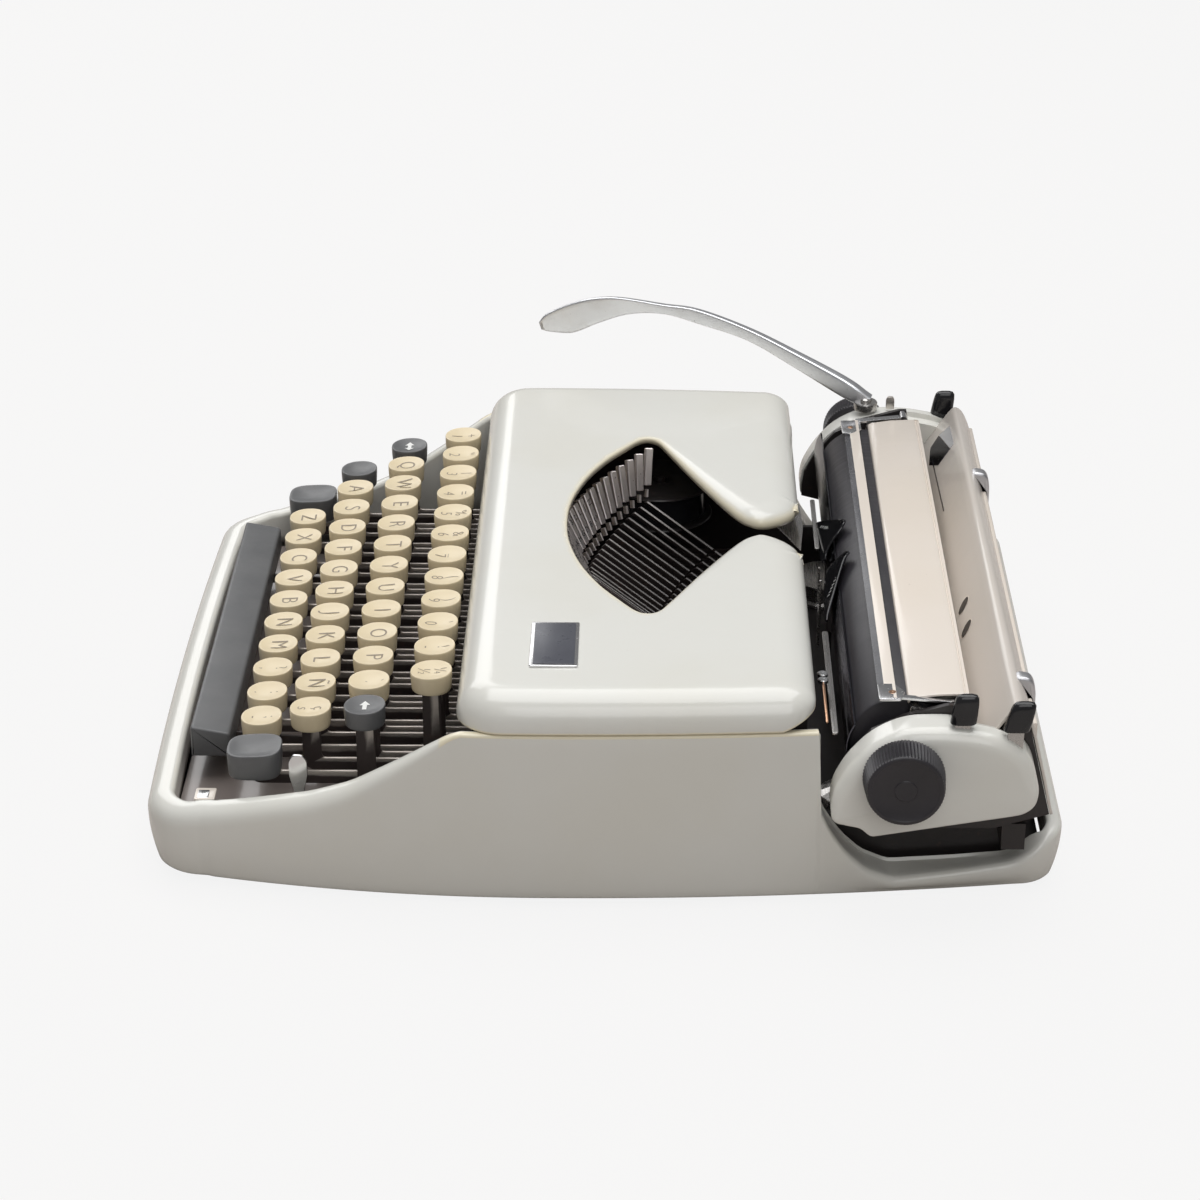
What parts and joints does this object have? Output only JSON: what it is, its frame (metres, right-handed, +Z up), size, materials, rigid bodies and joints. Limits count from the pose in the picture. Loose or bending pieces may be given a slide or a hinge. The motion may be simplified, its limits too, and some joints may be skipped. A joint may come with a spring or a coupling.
{
  "type": "manual typewriter",
  "caption": "Portable manual typewriter: moulded housing, hinged ribbon cover, cream keys on levers, swinging typebar, sliding carriage with platen, return lever and release levers.",
  "frame": {"origin": "on the ground, midway across the keyboard and type basket, which is within about 2 mm of the middle of the whole machine's box from side to side and from front to rear", "axes": "+X to the typist's right along the carriage's travel, +Y away from the typist, +Z up"},
  "size_m": [0.3268, 0.3195, 0.1109],
  "materials": {
    "enamel": "gloss enamel, light warm grey",
    "cream_keys": "gloss, cream",
    "black_plastic": "satin, black",
    "rubber": "matt, black",
    "chrome": "polished plating",
    "dark_steel": "japanned, nearly black",
    "bright_steel": "brushed",
    "beige_enamel": "enamel, grey beige",
    "ivory_enamel": "enamel, ivory",
    "grey_floor": "satin, warm grey"
  },
  "bodies": {
    "housing": {"housing": "enamel", "base_plate": "dark_steel", "foot_front_left": "rubber", "foot_front_right": "rubber", "foot_rear_left": "rubber", "foot_rear_right": "rubber", "inner_frame": "dark_steel", "front_apron": "grey_floor", "key_comb": "dark_steel", "typebar_segment": "bright_steel", "card_holder": "black_plastic", "case_catch": "ivory_enamel", "margin_bell": "bright_steel", "key_bank": "cream_keys"},
    "cover": {"top_cover": "enamel", "name_plate": "chrome"},
    "carriage": {"carriage_frame": "dark_steel", "end_cover_left": "enamel", "end_cover_right": "enamel", "paper_pan": "bright_steel", "paper_table": "ivory_enamel", "rear_panel": "beige_enamel", "margin_rail": "ivory_enamel"},
    "platen": {"platen": "rubber", "platen_knob_left": "black_plastic", "platen_knob_right": "black_plastic", "line_space_ratchet": "bright_steel"},
    "backspace_key": {"backspace_key": "black_plastic"},
    "carriage_release_left": {"carriage_release_left": "black_plastic"},
    "carriage_release_right": {"carriage_release_right": "black_plastic"},
    "feed_roller": {"feed_roller": "rubber"},
    "key_a": {"key_a": "cream_keys"},
    "key_accent": {"key_accent": "cream_keys"},
    "key_d": {"key_d": "cream_keys"},
    "key_f": {"key_f": "cream_keys"},
    "key_g": {"key_g": "cream_keys"},
    "key_h": {"key_h": "cream_keys"},
    "key_j": {"key_j": "cream_keys"},
    "key_k": {"key_k": "cream_keys"},
    "key_l": {"key_l": "cream_keys"},
    "key_n_tilde": {"key_n_tilde": "cream_keys"},
    "key_s": {"key_s": "cream_keys"},
    "line_space_selector": {"line_space_selector": "chrome"},
    "mainspring_drum": {"mainspring_drum": "bright_steel"},
    "margin_release_key": {"margin_release_key": "black_plastic"},
    "margin_stop_left": {"margin_stop_left": "chrome"},
    "margin_stop_right": {"margin_stop_right": "chrome"},
    "paper_bail": {"paper_bail": "ivory_enamel"},
    "paper_release_lever": {"paper_release_lever": "black_plastic"},
    "paper_support": {"paper_support": "chrome"},
    "return_lever": {"return_lever": "chrome"},
    "ribbon_selector": {"ribbon_selector": "chrome"},
    "ribbon_spool_left": {"ribbon_spool_left": "dark_steel"},
    "ribbon_spool_right": {"ribbon_spool_right": "dark_steel"},
    "ribbon_vibrator": {"ribbon_vibrator": "chrome"},
    "shift_key_left": {"shift_key_left": "black_plastic"},
    "shift_key_right": {"shift_key_right": "black_plastic"},
    "shift_lock_key": {"shift_lock_key": "black_plastic"},
    "space_bar": {"space_bar": "black_plastic"},
    "typebar": {"typebar": "chrome"}
  },
  "joints": [
    {"name": "key_a_press", "type": "hinge", "parent": "housing", "child": "key_a", "pos_m": [-0.09275, 0.062, 0.0135], "axis": [1, 0, 0], "range_deg": [0, 2.9], "stiffness_Nm_per_rad": 0.4, "springref_deg": -5.73},
    {"name": "key_s_press", "type": "hinge", "parent": "housing", "child": "key_s", "pos_m": [-0.07375, 0.062, 0.0135], "axis": [1, 0, 0], "range_deg": [0, 2.9], "stiffness_Nm_per_rad": 0.4, "springref_deg": -5.73},
    {"name": "key_d_press", "type": "hinge", "parent": "housing", "child": "key_d", "pos_m": [-0.05475, 0.062, 0.0135], "axis": [1, 0, 0], "range_deg": [0, 2.9], "stiffness_Nm_per_rad": 0.4, "springref_deg": -5.73},
    {"name": "key_f_press", "type": "hinge", "parent": "housing", "child": "key_f", "pos_m": [-0.03575, 0.062, 0.0135], "axis": [1, 0, 0], "range_deg": [0, 2.9], "stiffness_Nm_per_rad": 0.4, "springref_deg": -5.73},
    {"name": "key_g_press", "type": "hinge", "parent": "housing", "child": "key_g", "pos_m": [-0.01675, 0.062, 0.0135], "axis": [1, 0, 0], "range_deg": [0, 2.9], "stiffness_Nm_per_rad": 0.4, "springref_deg": -5.73},
    {"name": "key_h_press", "type": "hinge", "parent": "housing", "child": "key_h", "pos_m": [0.00225, 0.062, 0.0135], "axis": [1, 0, 0], "range_deg": [0, 2.9], "stiffness_Nm_per_rad": 0.4, "springref_deg": -5.73},
    {"name": "key_j_press", "type": "hinge", "parent": "housing", "child": "key_j", "pos_m": [0.02125, 0.062, 0.0135], "axis": [1, 0, 0], "range_deg": [0, 2.9], "stiffness_Nm_per_rad": 0.4, "springref_deg": -5.73},
    {"name": "key_k_press", "type": "hinge", "parent": "housing", "child": "key_k", "pos_m": [0.04025, 0.062, 0.0135], "axis": [1, 0, 0], "range_deg": [0, 2.9], "stiffness_Nm_per_rad": 0.4, "springref_deg": -5.73},
    {"name": "key_l_press", "type": "hinge", "parent": "housing", "child": "key_l", "pos_m": [0.05925, 0.062, 0.0135], "axis": [1, 0, 0], "range_deg": [0, 2.9], "stiffness_Nm_per_rad": 0.4, "springref_deg": -5.73},
    {"name": "key_n_tilde_press", "type": "hinge", "parent": "housing", "child": "key_n_tilde", "pos_m": [0.07825, 0.062, 0.0135], "axis": [1, 0, 0], "range_deg": [0, 2.9], "stiffness_Nm_per_rad": 0.4, "springref_deg": -5.73},
    {"name": "key_accent_press", "type": "hinge", "parent": "housing", "child": "key_accent", "pos_m": [0.09725, 0.062, 0.0135], "axis": [1, 0, 0], "range_deg": [0, 2.9], "stiffness_Nm_per_rad": 0.4, "springref_deg": -5.73},
    {"name": "shift_lock_press", "type": "hinge", "parent": "housing", "child": "shift_lock_key", "pos_m": [-0.11175, 0.062, 0.0135], "axis": [1, 0, 0], "range_deg": [0, 2.9], "stiffness_Nm_per_rad": 0.4, "springref_deg": -5.73},
    {"name": "margin_release_press", "type": "hinge", "parent": "housing", "child": "margin_release_key", "pos_m": [-0.1165, 0.062, 0.0135], "axis": [1, 0, 0], "range_deg": [0, 2.9], "stiffness_Nm_per_rad": 0.4, "springref_deg": -5.73},
    {"name": "backspace_press", "type": "hinge", "parent": "housing", "child": "backspace_key", "pos_m": [0.1115, 0.062, 0.0135], "axis": [1, 0, 0], "range_deg": [0, 2.9], "stiffness_Nm_per_rad": 0.4, "springref_deg": -5.73},
    {"name": "shift_key_left_press", "type": "hinge", "parent": "housing", "child": "shift_key_left", "pos_m": [-0.10225, 0.062, 0.0135], "axis": [1, 0, 0], "range_deg": [0, 2.9], "stiffness_Nm_per_rad": 0.6, "springref_deg": -5.73},
    {"name": "shift_key_right_press", "type": "hinge", "parent": "housing", "child": "shift_key_right", "pos_m": [0.10675, 0.062, 0.0135], "axis": [1, 0, 0], "range_deg": [0, 2.9], "stiffness_Nm_per_rad": 0.6, "springref_deg": -5.73},
    {"name": "space_bar_press", "type": "hinge", "parent": "housing", "child": "space_bar", "pos_m": [-0.0035, -0.079, 0.0128], "axis": [1, 0, 0], "range_deg": [0, 6], "stiffness_Nm_per_rad": 0.4, "springref_deg": -6.88},
    {"name": "typebar_swing", "type": "hinge", "parent": "housing", "child": "typebar", "pos_m": [0, 0.03878, 0.02256], "axis": [-1, 0, 0], "range_deg": [0, 99]},
    {"name": "cover_hinge", "type": "hinge", "parent": "housing", "child": "cover", "pos_m": [0, 0.0695, 0.0705], "axis": [-1, 0, 0], "range_deg": [0, 60]},
    {"name": "ribbon_spool_left_spin", "type": "hinge", "parent": "housing", "child": "ribbon_spool_left", "pos_m": [-0.09, 0.022, 0.044], "axis": [0, 0, 1], "continuous": true},
    {"name": "ribbon_spool_right_spin", "type": "hinge", "parent": "housing", "child": "ribbon_spool_right", "pos_m": [0.09, 0.022, 0.044], "axis": [0, 0, 1], "continuous": true},
    {"name": "ribbon_vibrator_lift", "type": "slide", "parent": "housing", "child": "ribbon_vibrator", "axis": [0, 0, 1], "range_m": [0, 0.008], "stiffness_N_per_m": 20, "springref_m": -0.006},
    {"name": "ribbon_selector_tilt", "type": "hinge", "parent": "housing", "child": "ribbon_selector", "pos_m": [0.1202, -0.1025, 0.0164], "axis": [1, 0, 0], "range_deg": [-12, 12]},
    {"name": "carriage_slide", "type": "slide", "parent": "housing", "child": "carriage", "axis": [-1, 0, 0], "range_m": [-0.088, 0.105]},
    {"name": "mainspring_drum_spin", "type": "hinge", "parent": "housing", "child": "mainspring_drum", "pos_m": [-0.095, 0.09, 0.0055], "axis": [0, 0, 1], "continuous": true},
    {"name": "platen_turn", "type": "hinge", "parent": "carriage", "child": "platen", "pos_m": [0.009, 0.1025, 0.0585], "axis": [1, 0, 0], "continuous": true},
    {"name": "feed_roller_turn", "type": "hinge", "parent": "carriage", "child": "feed_roller", "pos_m": [0.009, 0.10637, 0.03654], "axis": [1, 0, 0], "continuous": true},
    {"name": "paper_bail_swing", "type": "hinge", "parent": "carriage", "child": "paper_bail", "pos_m": [0.014, 0.1195, 0.0752], "axis": [-1, 0, 0], "range_deg": [0, 80]},
    {"name": "return_lever_swing", "type": "hinge", "parent": "carriage", "child": "return_lever", "pos_m": [-0.1262, 0.105, 0.0745], "axis": [0, 0, 1], "range_deg": [0, 30], "stiffness_Nm_per_rad": 0.3, "springref_deg": -11.46},
    {"name": "line_space_select", "type": "hinge", "parent": "carriage", "child": "line_space_selector", "pos_m": [-0.1262, 0.115, 0.0763], "axis": [1, 0, 0], "range_deg": [-20, 20]},
    {"name": "margin_stop_left_slide", "type": "slide", "parent": "carriage", "child": "margin_stop_left", "axis": [1, 0, 0], "range_m": [-0.055, 0.07]},
    {"name": "margin_stop_right_slide", "type": "slide", "parent": "carriage", "child": "margin_stop_right", "axis": [1, 0, 0], "range_m": [-0.095, 0.015]},
    {"name": "paper_release_pull", "type": "hinge", "parent": "carriage", "child": "paper_release_lever", "pos_m": [0.1477, 0.1232, 0.05], "axis": [-1, 0, 0], "range_deg": [0, 9], "stiffness_Nm_per_rad": 0.3, "springref_deg": -8.59},
    {"name": "carriage_release_right_push", "type": "hinge", "parent": "carriage", "child": "carriage_release_right", "pos_m": [0.1477, 0.1398, 0.05], "axis": [-1, 0, 0], "range_deg": [0, 10], "stiffness_Nm_per_rad": 0.3, "springref_deg": -8.59},
    {"name": "carriage_release_left_push", "type": "hinge", "parent": "carriage", "child": "carriage_release_left", "pos_m": [-0.1297, 0.1398, 0.05], "axis": [-1, 0, 0], "range_deg": [0, 10], "stiffness_Nm_per_rad": 0.3, "springref_deg": -8.59},
    {"name": "paper_support_lift", "type": "hinge", "parent": "carriage", "child": "paper_support", "pos_m": [-0.099, 0.1268, 0.0584], "axis": [1, 0, 0], "range_deg": [0, 35]}
  ],
  "couplings": [
    {"joint": "typebar_swing", "follows": "key_g_press", "ratio": 34},
    {"joint": "mainspring_drum_spin", "follows": "carriage_slide", "rad_per_m": 71.43},
    {"joint": "feed_roller_turn", "follows": "platen_turn", "ratio": -3.4}
  ]
}
